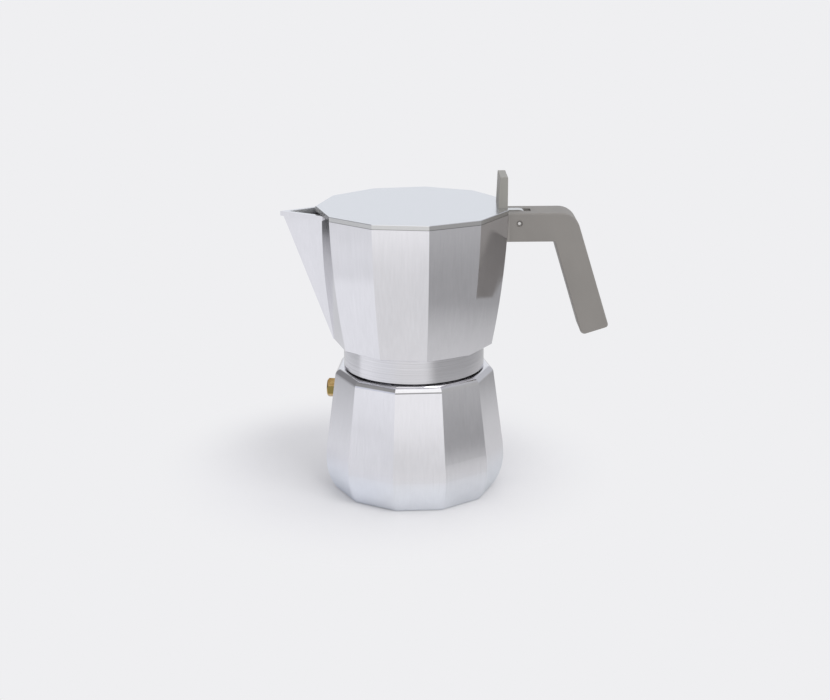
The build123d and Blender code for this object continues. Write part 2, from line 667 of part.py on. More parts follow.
# ---------------------------------------------------------------- handle
with BuildPart() as handle:
    with BuildSketch(Plane.XZ) as outline:
        outer_x, outer_z = GRIP_OUTER_FOOT
        inner_x, inner_z = GRIP_INNER_FOOT
        outer_lean = tan(radians(GRIP_OUTER_LEAN))
        inner_lean = tan(radians(GRIP_INNER_LEAN))
        corners = [
            ((HANDLE_END, HANDLE_TOP), 0),
            ((outer_x - outer_lean * (HANDLE_TOP - outer_z), HANDLE_TOP), SHOULDER_RADIUS),
            (GRIP_OUTER_FOOT, GRIP_OUTER_RADIUS),
            (GRIP_INNER_FOOT, GRIP_INNER_RADIUS),
            ((inner_x - inner_lean * (ARM_BOTTOM - inner_z), ARM_BOTTOM), ELBOW_RADIUS),
            ((HANDLE_END - HANDLE_END_LEAN * (HANDLE_TOP - ARM_BOTTOM), ARM_BOTTOM), 0),
        ]
        Polygon(*[corner for corner, radius in corners], align=None)
        for corner, radius in corners:
            if radius:
                fillet(outline.vertices().sort_by_distance(corner)[0], radius)
    extrude(amount=HANDLE_HALF_WIDTH, both=True)
    fillet(handle.faces().filter_by(Axis.Y).edges(), HANDLE_EDGE)
    # pocket for the tongue, slot for the lid's lug
    with BuildSketch(Plane.XZ):
        with Locations((POCKET_END / 2, (POCKET_BOTTOM + POCKET_TOP) / 2)):
            Rectangle(POCKET_END, POCKET_TOP - POCKET_BOTTOM)
    extrude(amount=POCKET_HALF_WIDTH, both=True, mode=Mode.SUBTRACT)
    with BuildSketch(Plane.XZ):
        with Locations((SLOT_END / 2, SLOT_BOTTOM + CUT)):
            Rectangle(SLOT_END, 2 * CUT)
    extrude(amount=SLOT_HALF_WIDTH, both=True, mode=Mode.SUBTRACT)
    # hinge pin hole with a round recess at each end
    with BuildSketch(Plane.XZ):
        with Locations((PIN_X, PIN_Z)):
            Circle(PIN_RADIUS + PRESS_FIT)
    extrude(amount=HANDLE_HALF_WIDTH, both=True, mode=Mode.SUBTRACT)
    for end in (-1, 1):
        with BuildSketch(Plane.XZ.offset(end * HANDLE_HALF_WIDTH)):
            with Locations((PIN_X, PIN_Z)):
                Circle(PIN_RECESS_RADIUS)
        extrude(amount=-end * PIN_RECESS_DEPTH, mode=Mode.SUBTRACT)
    # screw hole from below, with a sunk head
    with BuildSketch(Plane.XY.offset(ARM_BOTTOM)):
        with Locations((HANDLE_SCREW_X, 0)):
            Circle(HANDLE_SCREW_RADIUS + SIT_FIT)
    extrude(amount=CUT, mode=Mode.SUBTRACT)
    with BuildSketch(Plane.XY.offset(ARM_BOTTOM)):
        with Locations((HANDLE_SCREW_X, 0)):
            Circle(HANDLE_SCREW_HEAD + SIT_FIT)
    extrude(amount=HANDLE_SCREW_RECESS + HANDLE_SCREW_HEAD_HEIGHT, mode=Mode.SUBTRACT)
save(handle.part, "handle")

screw_head_foot = ARM_BOTTOM + HANDLE_SCREW_RECESS
with BuildPart() as handle_screw:
    with BuildSketch(Plane.XY.offset(screw_head_foot)):
        with Locations((HANDLE_SCREW_X, 0)):
            Circle(HANDLE_SCREW_HEAD)
    extrude(amount=HANDLE_SCREW_HEAD_HEIGHT)
    chamfer(handle_screw.edges().group_by(Axis.Z)[0], EDGE_BREAK)
    with BuildSketch(Plane.XY.offset(screw_head_foot)):
        with Locations((HANDLE_SCREW_X, 0)):
            Circle(HANDLE_SCREW_RADIUS)
    extrude(amount=HANDLE_SCREW_LENGTH)
    with BuildSketch(Plane.XY.offset(ARM_BOTTOM)):
        with Locations((HANDLE_SCREW_X, 0)):
            RegularPolygon(HANDLE_SCREW_SOCKET, 6)
    extrude(amount=HANDLE_SCREW_HEAD_HEIGHT, mode=Mode.SUBTRACT)
save(handle_screw.part, "handle_screw")

with BuildPart() as hinge_pin:
    with BuildSketch(Plane.XZ):
        with Locations((PIN_X, PIN_Z)):
            Circle(PIN_RADIUS)
    extrude(amount=PIN_LENGTH / 2, both=True)
    chamfer(hinge_pin.edges(), EDGE_BREAK)
save(hinge_pin.part, "hinge_pin")
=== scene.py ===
"""Finishes, small repeated parts and studio for a faceted stovetop moka pot."""

import json
import math

import bpy
from bpy.props import FloatProperty, FloatVectorProperty, IntProperty, PointerProperty
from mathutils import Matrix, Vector


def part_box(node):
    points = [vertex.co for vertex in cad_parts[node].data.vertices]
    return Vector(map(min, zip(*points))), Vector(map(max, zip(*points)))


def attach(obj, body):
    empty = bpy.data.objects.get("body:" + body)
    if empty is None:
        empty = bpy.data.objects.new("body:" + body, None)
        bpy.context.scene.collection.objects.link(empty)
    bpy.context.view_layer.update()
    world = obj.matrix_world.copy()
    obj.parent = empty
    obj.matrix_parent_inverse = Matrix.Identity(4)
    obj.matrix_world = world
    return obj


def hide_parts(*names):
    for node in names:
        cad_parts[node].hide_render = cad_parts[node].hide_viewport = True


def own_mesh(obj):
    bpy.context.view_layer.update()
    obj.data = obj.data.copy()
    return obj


bl_info = {
    "name": "Faceted moka pot",
    "version": (1, 0, 0),
    "blender": (4, 5, 0),
    "location": "3D View > Sidebar > Moka pot",
    "description": "Dresses the moka pot in its metals and plastic on a pale studio floor",
    "category": "Object",
}

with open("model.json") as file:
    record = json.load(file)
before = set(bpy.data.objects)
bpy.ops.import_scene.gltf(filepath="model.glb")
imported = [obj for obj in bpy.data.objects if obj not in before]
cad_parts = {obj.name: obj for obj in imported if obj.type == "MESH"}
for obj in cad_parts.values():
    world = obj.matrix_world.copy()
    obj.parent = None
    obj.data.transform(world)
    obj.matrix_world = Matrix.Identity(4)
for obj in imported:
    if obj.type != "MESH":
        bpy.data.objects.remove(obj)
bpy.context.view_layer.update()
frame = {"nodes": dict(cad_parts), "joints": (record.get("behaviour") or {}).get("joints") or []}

MM = 0.001
SHOULDER_TOP = 76.4 * MM  # the boiler is turned above this height
COLLAR_TOP = 92.9 * MM  # the collector is turned below this height
LID_EDGE_BREAK = 0.28 * MM
MIDDLE = (0.3, 0.7)  # where most values of a noise lie
# shank radius, head height and socket radius of the socket screws
LEVER_SCREW = (1.0 * MM, 0.9 * MM, 0.7 * MM)
HANDLE_SCREW = (2.0 * MM, 1.3 * MM, 1.5 * MM)


# ------------------------------------------------------------------ helpers
def linear(hex_colour):
    """Turns an sRGB hex colour into the linear values that sockets take."""
    channels = [int(hex_colour[i : i + 2], 16) / 255 for i in (1, 3, 5)]
    return tuple(c / 12.92 if c <= 0.04045 else ((c + 0.055) / 1.055) ** 2.4 for c in channels)


def add_node(tree, kind, settings=None, values=None, links=None):
    """Adds a node, with its settings, its socket values and the sockets linked into it."""
    node = tree.nodes.new(kind)
    for name, value in (settings or {}).items():
        setattr(node, name, value)
    for socket, value in (values or {}).items():
        node.inputs[socket].default_value = value
    for socket, source in (links or {}).items():
        tree.links.new(source, node.inputs[socket])
    return node


def set_ramp(node, stops):
    """Gives a colour ramp its stops, each a position and a grey or a colour."""
    elements = node.color_ramp.elements
    while len(elements) < len(stops):
        elements.new(1.0)
    for element, (position, tone) in zip(elements, stops):
        element.position = position
        element.color = (tone, tone, tone, 1) if isinstance(tone, float) else (*tone, 1)


def new_surface(name):
    """A material with an empty tree, its Principled shader and its Object coordinates."""
    material = bpy.data.materials.new(name)
    material.use_nodes = True
    tree = material.node_tree
    tree.nodes.clear()
    shader = add_node(tree, "ShaderNodeBsdfPrincipled")
    add_node(tree, "ShaderNodeOutputMaterial", links={"Surface": shader.outputs[0]})
    place = add_node(tree, "ShaderNodeTexCoord").outputs["Object"]
    return material, tree, shader, place


def stretched_noise(tree, place, size_mm, detail=2.0, roughness=0.5):
    """Noise whose grains have the given sizes along x, y and z."""
    mapping = add_node(
        tree,
        "ShaderNodeMapping",
        values={"Scale": [1 / (size * MM) for size in size_mm]},
        links={"Vector": place},
    )
    noise = add_node(
        tree,
        "ShaderNodeTexNoise",
        values={"Scale": 1.0, "Detail": detail, "Roughness": roughness},
        links={"Vector": mapping.outputs[0]},
    )
    return noise.outputs["Fac"]


def remap(tree, value, from_range, to_range, smooth=False):
    """Value carried from one range to another, clamped at its ends."""
    node = add_node(
        tree,
        "ShaderNodeMapRange",
        settings={"interpolation_type": "SMOOTHSTEP" if smooth else "LINEAR"},
        values={
            "From Min": from_range[0],
            "From Max": from_range[1],
            "To Min": to_range[0],
            "To Max": to_range[1],
        },
        links={"Value": value},
    )
    return node.outputs[0]


def calculate(tree, operation, *operands):
    """Math node over numbers and sockets, in order."""
    node = add_node(tree, "ShaderNodeMath", settings={"operation": operation})
    for index, operand in enumerate(operands):
        if isinstance(operand, (int, float)):
            node.inputs[index].default_value = operand
        else:
            tree.links.new(operand, node.inputs[index])
    return node.outputs[0]


def blend_values(tree, factor, low, high):
    """Mix of two numbers or sockets by a factor socket."""
    node = add_node(tree, "ShaderNodeMix", links={"Factor": factor})
    for socket, value in ((2, low), (3, high)):
        if isinstance(value, (int, float)):
            node.inputs[socket].default_value = value
        else:
            tree.links.new(value, node.inputs[socket])
    return node.outputs[0]


def blend_colours(tree, factor, low, high):
    """Mix of two colours, given as linear triples or sockets, by a factor socket."""
    node = add_node(tree, "ShaderNodeMix", settings={"data_type": "RGBA"}, links={"Factor": factor})
    for socket, value in ((6, low), (7, high)):
        if isinstance(value, (tuple, list)):
            node.inputs[socket].default_value = (*value, 1)
        else:
            tree.links.new(value, node.inputs[socket])
    return node.outputs[2]


def split_axes(tree, place):
    """The x, y and z of a place or a direction."""
    return add_node(tree, "ShaderNodeSeparateXYZ", links={0: place}).outputs


def distance_out(tree, x, y):
    """Distance from the upright axis."""
    squares = [calculate(tree, "MULTIPLY", side, side) for side in (x, y)]
    return calculate(tree, "SQRT", calculate(tree, "ADD", *squares))


def between(tree, value, low, high):
    """1 between two limits, 0 elsewhere."""
    above = calculate(tree, "GREATER_THAN", value, low)
    return calculate(tree, "MULTIPLY", above, calculate(tree, "LESS_THAN", value, high))


def fade(tree, value, start, end):
    """Smoothly from 0 to 1 as a value goes from start to end."""
    return remap(tree, value, (start, end), (0.0, 1.0), smooth=True)


def mottle(tree, noise, span, first, second):
    """From one colour to another as the noise rises through a span."""
    return blend_colours(tree, remap(tree, noise, span, (0.0, 1.0)), tuple(first), tuple(second))


def filtered(tree, colour, light):
    """A fixed colour times a light that varies."""
    return add_node(
        tree,
        "ShaderNodeMix",
        settings={"data_type": "RGBA", "blend_type": "MULTIPLY"},
        values={0: 1.0, 6: (*colour, 1)},
        links={7: light},
    ).outputs[2]


def multiply_colours(tree, first, second):
    """Product of two colours, channel by channel."""
    settings, links = {"operation": "MULTIPLY"}, {0: first, 1: second}
    return add_node(tree, "ShaderNodeVectorMath", settings, links=links).outputs[0]


def connect(tree, shader, colour, roughness, normal, **even):
    """Feed a surface's shader, and set the inputs that are the same all over."""
    for name, source in (("Base Color", colour), ("Roughness", roughness), ("Normal", normal)):
        tree.links.new(source, shader.inputs[name])
    for name, value in even.items():
        shader.inputs[name].default_value = value


def relief(tree, height, depth_mm, below=None):
    """Bump of a height from 0 to 1 that stands depth_mm high, over another bump."""
    bump = add_node(tree, "ShaderNodeBump", values={"Strength": 1.0, "Distance": depth_mm * MM})
    tree.links.new(height, bump.inputs["Height"])
    if below is not None:
        tree.links.new(below, bump.inputs["Normal"])
    return bump.outputs[0]


def dress(node_name, material):
    """Puts a material on every slot of a node that keeps its own shape."""
    for slot in frame["nodes"][node_name].material_slots:
        slot.material = material


def settle(name, tree, inputs, material, body, *replaced):
    """Runs a geometry tree, keeps its result as a plain mesh at the origin and lets it ride."""
    holder = bpy.data.objects.new(name, bpy.data.meshes.new(name))
    bpy.context.scene.collection.objects.link(holder)
    modifier = holder.modifiers.new(name, "NODES")
    modifier.node_group = tree
    sockets = {s.name: s.identifier for s in tree.interface.items_tree if s.in_out == "INPUT"}
    for socket_name, value in {**inputs, "Material": material}.items():
        modifier[sockets[socket_name]] = value
    bpy.context.view_layer.update()
    evaluated = holder.evaluated_get(bpy.context.evaluated_depsgraph_get())
    made = bpy.data.meshes.new_from_object(evaluated)
    if not made.polygons:
        raise RuntimeError(f"{name} came out empty")
    holder.modifiers.remove(modifier)
    holder.data = made
    holder.data.name = name
    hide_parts(*replaced)
    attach(holder, body)
    return holder


def geometry_tree(name, inputs):
    """An empty geometry tree with its named inputs, a material input and one output."""
    tree = bpy.data.node_groups.new(name, "GeometryNodeTree")
    for socket_name, kind in inputs:
        tree.interface.new_socket(socket_name, in_out="INPUT", socket_type=kind)
    tree.interface.new_socket("Material", in_out="INPUT", socket_type="NodeSocketMaterial")
    tree.interface.new_socket("Geometry", in_out="OUTPUT", socket_type="NodeSocketGeometry")
    return tree, add_node(tree, "NodeGroupInput").outputs


def close_tree(tree, geometry, given, smooth=False):
    """Ends a geometry tree: real geometry, shading, its material, its output."""
    real = add_node(tree, "GeometryNodeRealizeInstances", links={"Geometry": geometry})
    shaded = add_node(
        tree,
        "GeometryNodeSetShadeSmooth",
        values={"Shade Smooth": smooth},
        links={"Geometry": real.outputs[0]},
    )
    finished = add_node(
        tree,
        "GeometryNodeSetMaterial",
        links={"Geometry": shaded.outputs[0], "Material": given["Material"]},
    )
    add_node(tree, "NodeGroupOutput", links={"Geometry": finished.outputs[0]})
    return tree


# ------------------------------------------------------------------ settings
class MokaMetals(bpy.types.PropertyGroup):
    """Colours and grain of the pot's metals."""

    vessel_colour: FloatVectorProperty(
        name="Cast aluminium",
        description="Reflected colour of the ground and polished vessels",
        subtype="COLOR",
        size=3,
        default=linear("#F4F3F6"),
    )
    vessel_roughness: FloatProperty(
        name="Vessel roughness",
        description="Blur of the reflections in the facets",
        subtype="FACTOR",
        min=0.02,
        max=0.6,
        default=0.10,
    )
    grain_width: FloatProperty(
        name="Grain width",
        description="Width of the grinding marks that run up the facets",
        subtype="DISTANCE",
        unit="LENGTH",
        default=0.42 * MM,
    )
    lid_colour: FloatVectorProperty(
        name="Lid aluminium",
        description="Reflected colour of the satin lid",
        subtype="COLOR",
        size=3,
        default=linear("#ECEDF0"),
    )
    sheet_colour: FloatVectorProperty(
        name="Sheet aluminium",
        description="Reflected colour of the spun funnel and the pressed plates",
        subtype="COLOR",
        size=3,
        default=linear("#E2E2E3"),
    )
    brass_colour: FloatVectorProperty(
        name="Brass",
        description="Reflected colour of the safety valve",
        subtype="COLOR",
        size=3,
        default=linear("#E2C084"),
    )
    steel_colour: FloatVectorProperty(
        name="Stainless steel",
        description="Reflected colour of the pin, the screws and the spring",
        subtype="COLOR",
        size=3,
        default=linear("#DAD8D5"),
    )


class MokaPlastics(bpy.types.PropertyGroup):
    """Colours of the moulded and rubber parts."""

    handle_colour: FloatVectorProperty(
        name="Handle",
        description="Colour of the moulded handle",
        subtype="COLOR",
        size=3,
        default=linear("#938F8A"),
    )
    lever_colour: FloatVectorProperty(
        name="Thumb lever",
        description="Colour of the moulded thumb lever",
        subtype="COLOR",
        size=3,
        default=linear("#A3A19A"),
    )
    # painted highlight: a paler band where the handle's end meets the vessel
    handle_end_highlight_colour: FloatVectorProperty(
        name="Handle end",
        description="Paler band where the handle was trimmed to the vessel",
        subtype="COLOR",
        size=3,
        default=linear("#A5A19C"),
    )
    gasket_colour: FloatVectorProperty(
        name="Gasket",
        description="Colour of the silicone sealing ring",
        subtype="COLOR",
        size=3,
        default=linear("#E6E3DC"),
    )
    washer_colour: FloatVectorProperty(
        name="Washer",
        description="Colour of the fibre washer under the valve",
        subtype="COLOR",
        size=3,
        default=linear("#7E6446"),
    )


class MokaPlates(bpy.types.PropertyGroup):
    """Sizes of the perforated plates."""

    hole_radius: FloatProperty(
        name="Hole radius",
        description="Radius of each punched hole",
        subtype="DISTANCE",
        unit="LENGTH",
        default=0.8 * MM,
    )
    ring_step: FloatProperty(
        name="Ring step",
        description="Distance between two rings of holes",
        subtype="DISTANCE",
        unit="LENGTH",
        default=5.4 * MM,
    )
    filter_rings: IntProperty(
        name="Filter rings",
        description="Rings of holes in the filter plate",
        min=1,
        default=4,
    )
    strainer_rings: IntProperty(
        name="Strainer rings",
        description="Rings of holes in the funnel's strainer",
        min=1,
        default=5,
    )


class MokaSmallParts(bpy.types.PropertyGroup):
    """Sizes of the screws and of the valve's spring."""

    lever_screw_spacing: FloatProperty(
        name="Lever screw spacing",
        description="Distance between the two screws of the thumb lever",
        subtype="DISTANCE",
        unit="LENGTH",
        default=13.0 * MM,
    )
    spring_wire: FloatProperty(
        name="Spring wire",
        description="Thickness of the valve spring's wire",
        subtype="DISTANCE",
        unit="LENGTH",
        default=0.6 * MM,
    )
    spring_coil_radius: FloatProperty(
        name="Coil radius",
        description="Radius of the valve spring to the middle of its wire",
        subtype="DISTANCE",
        unit="LENGTH",
        default=1.85 * MM,
    )
    spring_turns: FloatProperty(
        name="Spring turns",
        description="Turns of the valve spring",
        min=1.0,
        default=5.0,
    )


class MokaStudio(bpy.types.PropertyGroup):
    """Floor, light and camera."""

    floor_colour: FloatVectorProperty(
        name="Floor",
        description="Colour of the pale paper floor",
        subtype="COLOR",
        size=3,
        default=linear("#F4F4F5"),
    )
    backdrop_colour: FloatVectorProperty(
        name="Backdrop",
        description="Colour beyond the floor's far edge",
        subtype="COLOR",
        size=3,
        default=linear("#EFEFF1"),
    )
    sky_strength: FloatProperty(
        name="Fill light",
        description="Light that comes evenly from all round",
        min=0.0,
        default=0.80,
    )
    key_strength: FloatProperty(
        name="Key light",
        description="Light from the large lamp at the right",
        min=0.0,
        default=0.6,
    )
    key_size: FloatProperty(
        name="Key size",
        description="Angle that the large lamp fills, which softens the shadow",
        subtype="ANGLE",
        unit="ROTATION",
        default=math.radians(30),
    )
    camera_place: FloatVectorProperty(
        name="Camera place",
        description="Where the camera stands",
        subtype="TRANSLATION",
        unit="LENGTH",
        size=3,
        default=(-0.01179, -0.88107, 0.35886),
    )
    camera_turn: FloatVectorProperty(
        name="Camera turn",
        description="How the camera is turned",
        subtype="EULER",
        unit="ROTATION",
        size=3,
        default=[math.radians(angle) for angle in (72.760, 0.3035, -0.9061)],
    )
    lens: FloatProperty(
        name="Lens",
        description="Focal length on a 36 mm sensor, in millimetres",
        min=10.0,
        default=65.93,
    )


# ------------------------------------------------------------------ metals
def cast_aluminium(name, metals, turned_zone, hollow=None):
    """Cast aluminium, its facets ground upwards and polished, its round parts turned.

    To the eye: clear but softly blurred mirror images, faint clouds a centimetre wide
    left by hand polishing, upright grain on the facets and fine rings where a tool ran
    round. The real grain is about 0.1 mm wide; it is drawn wider so that it shows.
    """
    material, tree, shader, place = new_surface(name)
    x, y, z = split_axes(tree, place)
    width = metals.grain_width / MM
    upright = stretched_noise(tree, place, (width, width, 30.0), detail=3.0)
    streaks = stretched_noise(tree, place, (3 * width, 3 * width, 45.0), detail=4.0, roughness=0.7)
    rings = stretched_noise(tree, place, (60.0, 60.0, 0.6), detail=3.0, roughness=0.7)
    clouds = stretched_noise(tree, place, (9.0, 9.0, 16.0), detail=3.0, roughness=0.6)
    swell = stretched_noise(tree, place, (16.0, 16.0, 34.0), detail=1.0)

    turned = between(tree, z, *turned_zone)
    grain = blend_values(tree, turned, upright, rings)
    base = mottle(
        tree, clouds, MIDDLE, [0.965 * c for c in metals.vessel_colour], metals.vessel_colour
    )
    marks = blend_values(
        tree,
        turned,
        remap(tree, streaks, (0.35, 0.65), (0.0, 0.35)),
        remap(tree, rings, (0.35, 0.65), (0.0, 1.0)),
    )
    streaked = blend_colours(tree, marks, base, [0.89 * c for c in metals.vessel_colour])
    blur = metals.vessel_roughness
    roughness = remap(tree, clouds, MIDDLE, (blur - 0.025, blur + 0.035))
    roughness = blend_values(tree, turned, roughness, blur + 0.08)
    bump = relief(tree, swell, 0.035)
    bump = relief(tree, grain, 0.0027, bump)
    bump = relief(tree, calculate(tree, "MULTIPLY", turned, rings), 0.006, bump)

    if hollow is not None:
        # the inside keeps its cast skin: matt, greyer, with a sandy grain of 0.7 mm
        inside = hollow(tree, x, y, z)
        sand = stretched_noise(tree, place, (0.7, 0.7, 0.7), detail=2.0)
        streaked = blend_colours(tree, inside, streaked, linear("#DFE0E3"))
        roughness = blend_values(tree, inside, roughness, 0.42)
        bump = relief(tree, calculate(tree, "MULTIPLY", inside, sand), 0.02, bump)

    connect(tree, shader, streaked, roughness, bump, Metallic=1.0)
    return material


def collector_hollow(tree, x, y, z):
    """1 on the walls inside the collector and its spout, 0 outside and on the rim."""
    floor, rim, under_lip = 96.0 * MM, 172.0 * MM, 171.9 * MM
    spout_tip, spout_slope, spout_half_angle = 77.46 * MM, 0.365, math.radians(32)
    spout_root, spout_wall, wall_margin = -44 * MM, 1.6 * MM, 0.25 * MM
    # the facets bow along an arc in the upright plane; this is its centre and radius
    centre_out, centre_up, bow_radius = -468.4 * MM, 191.4 * MM, 524.0 * MM
    level = calculate(tree, "SUBTRACT", z, centre_up)
    under_root = calculate(tree, "SUBTRACT", bow_radius**2, calculate(tree, "POWER", level, 2.0))
    apothem = calculate(tree, "ADD", calculate(tree, "SQRT", under_root), centre_out)
    inner_face = calculate(tree, "SUBTRACT", apothem, wall_margin)
    in_body = calculate(tree, "LESS_THAN", distance_out(tree, x, y), inner_face)
    # the spout is a V whose tip edge leans in below the rim
    below_rim = calculate(tree, "SUBTRACT", rim, z)
    inward = calculate(tree, "MULTIPLY", below_rim, spout_slope)
    tip = calculate(tree, "SUBTRACT", spout_tip, inward)
    reach = calculate(tree, "MULTIPLY", calculate(tree, "ADD", tip, x), math.tan(spout_half_angle))
    gap = calculate(tree, "SUBTRACT", reach, calculate(tree, "ABSOLUTE", y))
    in_spout = calculate(tree, "GREATER_THAN", gap, spout_wall)
    in_spout = calculate(tree, "MULTIPLY", in_spout, calculate(tree, "LESS_THAN", x, spout_root))
    either = calculate(tree, "MAXIMUM", in_body, in_spout)
    return calculate(tree, "MULTIPLY", either, between(tree, z, floor, under_lip))


def boiler_hollow(tree, x, y, z):
    """1 on the walls inside the boiler, 0 outside."""
    floor, top = 2.0 * MM, 75.0 * MM
    foot_out, belly_out, shoulder_out = 45.5 * MM, 50.6 * MM, 44.6 * MM
    # two lines between the wall's two faces part them: one at the foot, one up the leaning side
    foot = remap(tree, z, (floor, 12.0 * MM), (foot_out, belly_out))
    side = remap(tree, z, (29.0 * MM, 76.0 * MM), (belly_out, shoulder_out))
    middle = calculate(tree, "MINIMUM", foot, side)
    in_body = calculate(tree, "LESS_THAN", distance_out(tree, x, y), middle)
    return calculate(tree, "MULTIPLY", in_body, between(tree, z, floor, top))


def satin_lid_aluminium(metals, top):
    """Rolled aluminium plate, satin finished with a fine abrasive pad.

    To the eye: an even pale sheen without a clear mirror image, a few wide faint clouds
    and a fine tooth. The tooth is about 0.1 mm in life and is drawn at 0.5 mm.
    """
    material, tree, shader, place = new_surface("satin rolled aluminium")
    tooth = stretched_noise(tree, place, (0.5, 0.5, 0.5), detail=3.0, roughness=0.6)
    clouds = stretched_noise(tree, place, (22.0, 22.0, 22.0), detail=3.0, roughness=0.55)
    base = mottle(tree, clouds, MIDDLE, [0.97 * c for c in metals.lid_colour], metals.lid_colour)
    # the upright edge below the edge break is a little greyer than the top face
    z = split_axes(tree, place)[2]
    under_face = calculate(tree, "LESS_THAN", z, top - LID_EDGE_BREAK)
    base = blend_colours(tree, under_face, base, linear("#D6D6D5"))
    roughness = remap(tree, clouds, MIDDLE, (0.17, 0.22))
    connect(tree, shader, base, roughness, relief(tree, tooth, 0.004), Metallic=1.0)
    return material


def ring_marks(tree, place, pitch_mm):
    """Rings round the upright axis, uneven as a spinning tool leaves them."""
    x, y, z = split_axes(tree, place)
    out = distance_out(tree, x, y)
    path = calculate(tree, "ADD", out, z)
    line = add_node(
        tree,
        "ShaderNodeTexNoise",
        settings={"noise_dimensions": "1D"},
        values={"Scale": 1 / (pitch_mm * MM), "Detail": 2.0},
        links={"W": path},
    )
    return line.outputs["Fac"]


def spun_aluminium(metals):
    """Aluminium sheet, spun or pressed over a former.

    To the eye: softer and greyer than the castings, with rings round the axis.
    """
    material, tree, shader, place = new_surface("spun sheet aluminium")
    rings = ring_marks(tree, place, 0.6)
    base = mottle(tree, rings, MIDDLE, [0.92 * c for c in metals.sheet_colour], metals.sheet_colour)
    roughness = remap(tree, rings, MIDDLE, (0.22, 0.32))
    connect(tree, shader, base, roughness, relief(tree, rings, 0.006), Metallic=1.0)
    return material


def machined_brass(metals, axis_z, outwards, end):
    """Brass bar, milled to a hexagon and turned.

    To the eye: pale warm yellow with fine tool lines, browner in patches, and a painted dark
    olive reflection on the flats at the height of its axis, where they mirror dark surroundings.
    """
    material, tree, shader, place = new_surface("machined brass")
    lines = stretched_noise(tree, place, (0.25, 8.0, 8.0), detail=2.0)
    film = stretched_noise(tree, place, (3.0, 3.0, 3.0), detail=3.0)
    base = mottle(tree, film, (0.4, 0.7), metals.brass_colour, linear("#CDA566"))
    z = split_axes(tree, place)[2]
    # painted reflection: the flats at the height of the axis, short of the valve's outer end, are
    # painted dark olive for the dark surroundings they mirror
    off_axis = calculate(tree, "ABSOLUTE", calculate(tree, "SUBTRACT", z, axis_z))
    dark_reflection_edge = (2.2 * MM, 2.8 * MM)
    painted_dark_reflection = remap(tree, off_axis, dark_reflection_edge, (1.0, 0.0), smooth=True)
    along = add_node(
        tree,
        "ShaderNodeVectorMath",
        settings={"operation": "DOT_PRODUCT"},
        values={1: outwards},
        links={0: place},
    )
    behind_end = calculate(tree, "LESS_THAN", along.outputs["Value"], end - 0.5 * MM)
    painted_dark_reflection = calculate(tree, "MULTIPLY", painted_dark_reflection, behind_end)
    base = blend_colours(tree, painted_dark_reflection, base, linear("#9C8B55"))
    roughness = remap(tree, film, MIDDLE, (0.2, 0.32))
    connect(tree, shader, base, roughness, relief(tree, lines, 0.004), Metallic=1.0)
    return material


def drawn_steel(metals):
    """Stainless steel wire and rod, drawn and ground.

    To the eye: bright and slightly warm, with short lines along its length.
    """
    material, tree, shader, place = new_surface("drawn stainless steel")
    lines = stretched_noise(tree, place, (0.3, 4.0, 0.3), detail=2.0)
    base = mottle(tree, lines, MIDDLE, [0.9 * c for c in metals.steel_colour], metals.steel_colour)
    roughness = remap(tree, lines, MIDDLE, (0.16, 0.26))
    connect(tree, shader, base, roughness, relief(tree, lines, 0.003), Metallic=1.0)
    return material


# ------------------------------------------------------------------ plastics and rubber
def moulded_thermoplastic(name, colour, end_x, end_highlight_colour):
    """Glass-filled thermoplastic, injection moulded in a spark-eroded mould.

    To the eye: a warm matt grey with a fine even tooth, slightly cloudy where the melt
    flowed, and a painted highlight: a paler band where the handle meets the vessel. The tooth is
    about 0.1 mm in life and is drawn at 0.35 mm.
    """
    material, tree, shader, place = new_surface(name)
    tooth = stretched_noise(tree, place, (0.35, 0.35, 0.35), detail=2.0)
    flow = stretched_noise(tree, place, (18.0, 18.0, 30.0), detail=2.0)
    body = mottle(tree, flow, MIDDLE, [0.95 * c for c in colour], [1.03 * c for c in colour])
    x = split_axes(tree, place)[0]
    # painted highlight: the band nearest the vessel is painted paler, for the light its edge
    # catches
    band_edge = (end_x + 1.7 * MM, end_x + 2.0 * MM)
    nearest = remap(tree, x, band_edge, (1.0, 0.0), smooth=True)
    body = blend_colours(tree, nearest, body, tuple(end_highlight_colour))
    roughness = remap(tree, tooth, MIDDLE, (0.42, 0.52))
    connect(tree, shader, body, roughness, relief(tree, tooth, 0.012), IOR=1.53)
    return material


def silicone_rubber(plastics):
    """Silicone rubber, pressed in a mould and dusted with talc.

    To the eye: off-white, dull, with a soft bloom and faint specks.
    """
    material, tree, shader, place = new_surface("moulded silicone rubber")
    specks = stretched_noise(tree, place, (0.8, 0.8, 0.8), detail=3.0)
    white = plastics.gasket_colour
    base = mottle(tree, specks, (0.45, 0.75), white, [0.86 * c for c in white])
    roughness = remap(tree, specks, MIDDLE, (0.55, 0.7))
    connect(tree, shader, base, roughness, relief(tree, specks, 0.015), IOR=1.41)
    return material


def vulcanised_fibre(plastics):
    """Vulcanised fibre sheet, punched.

    To the eye: brown card with short pale fibres, a little waxy.
    """
    material, tree, shader, place = new_surface("punched vulcanised fibre")
    fibres = stretched_noise(tree, place, (0.4, 2.5, 0.25), detail=3.0)
    brown = plastics.washer_colour
    base = mottle(tree, fibres, (0.4, 0.7), brown, [1.35 * c for c in brown])
    roughness = remap(tree, fibres, MIDDLE, (0.5, 0.65))
    connect(tree, shader, base, roughness, relief(tree, fibres, 0.02), IOR=1.5)
    return material


